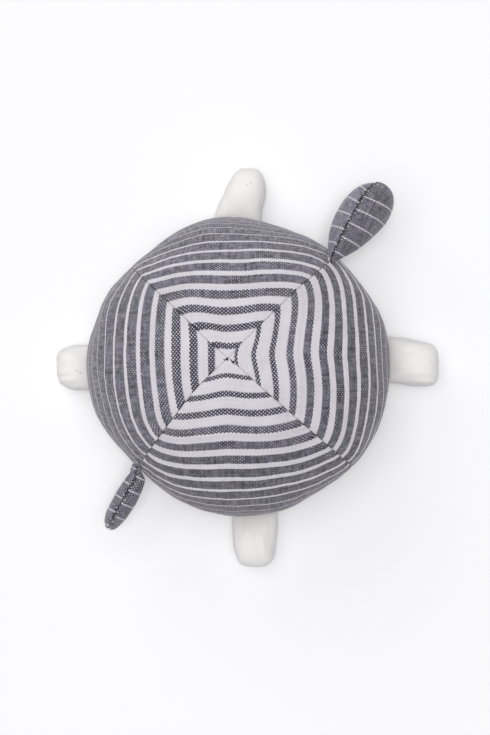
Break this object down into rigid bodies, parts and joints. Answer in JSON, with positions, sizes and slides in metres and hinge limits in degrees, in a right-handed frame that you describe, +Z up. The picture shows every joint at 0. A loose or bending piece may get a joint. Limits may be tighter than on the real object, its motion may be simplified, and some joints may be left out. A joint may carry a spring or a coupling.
{
  "type": "plush turtle",
  "caption": "Stuffed fabric turtle: a domed shell of striped gores, a leaf-shaped head and tail, and knitted legs sewn into the rim.",
  "frame": {"origin": "centre of the flat that the belly rests on", "axes": "+Z up through the crown of the shell; the head points along -Y; +X is the turtle's left"},
  "size_m": [0.1812, 0.2637, 0.109],
  "materials": {
    "striped_cotton": "matte",
    "white_knit": "matte",
    "plain_cotton": "matte",
    "fibre_fill": "matte"
  },
  "bodies": {
    "shell": {"shell_panel_front_left": "striped_cotton", "shell_panel_front_right": "striped_cotton", "shell_panel_rear_left": "striped_cotton", "shell_panel_rear_right": "striped_cotton", "belly_panel": "plain_cotton", "shell_stuffing": "fibre_fill"},
    "head": {"head_left_panel": "striped_cotton", "head_right_panel": "striped_cotton", "head_stuffing": "fibre_fill"},
    "tail": {"tail_left_panel": "striped_cotton", "tail_right_panel": "striped_cotton", "tail_stuffing": "fibre_fill"},
    "leg_front_left": {"leg_front_left_top_panel": "white_knit", "leg_front_left_sole_panel": "white_knit", "leg_front_left_stuffing": "fibre_fill"},
    "leg_front_right": {"leg_front_right_top_panel": "white_knit", "leg_front_right_sole_panel": "white_knit", "leg_front_right_stuffing": "fibre_fill"},
    "leg_rear_left": {"leg_rear_left_top_panel": "white_knit", "leg_rear_left_sole_panel": "white_knit", "leg_rear_left_stuffing": "fibre_fill"},
    "leg_rear_right": {"leg_rear_right_top_panel": "white_knit", "leg_rear_right_sole_panel": "white_knit", "leg_rear_right_stuffing": "fibre_fill"}
  },
  "joints": [
    {"name": "head_swing", "type": "hinge", "parent": "shell", "child": "head", "pos_m": [0, -0.08518, 0.06212], "axis": [0, 0, 1], "range_deg": [-46, 21], "stiffness_Nm_per_rad": 0.01},
    {"name": "tail_swing", "type": "hinge", "parent": "shell", "child": "tail", "pos_m": [0, 0.08605, 0.06004], "axis": [0, 0, 1], "range_deg": [-55, 25], "stiffness_Nm_per_rad": 0.004},
    {"name": "leg_front_left_flap", "type": "hinge", "parent": "shell", "child": "leg_front_left", "pos_m": [0.05641, -0.06156, 0.01404], "axis": [-0.7373, -0.6756, 0], "range_deg": [-45, 20], "stiffness_Nm_per_rad": 0.02},
    {"name": "leg_front_right_flap", "type": "hinge", "parent": "shell", "child": "leg_front_right", "pos_m": [-0.05926, -0.05885, 0.01404], "axis": [-0.7046, 0.7096, 0], "range_deg": [-45, 20], "stiffness_Nm_per_rad": 0.02},
    {"name": "leg_rear_left_flap", "type": "hinge", "parent": "shell", "child": "leg_rear_left", "pos_m": [0.06038, 0.0577, 0.01404], "axis": [0.6909, -0.723, 0], "range_deg": [-45, 12], "stiffness_Nm_per_rad": 0.02},
    {"name": "leg_rear_right_flap", "type": "hinge", "parent": "shell", "child": "leg_rear_right", "pos_m": [-0.06117, 0.05684, 0.01404], "axis": [0.6807, 0.7325, 0], "range_deg": [-45, 20], "stiffness_Nm_per_rad": 0.02}
  ]
}
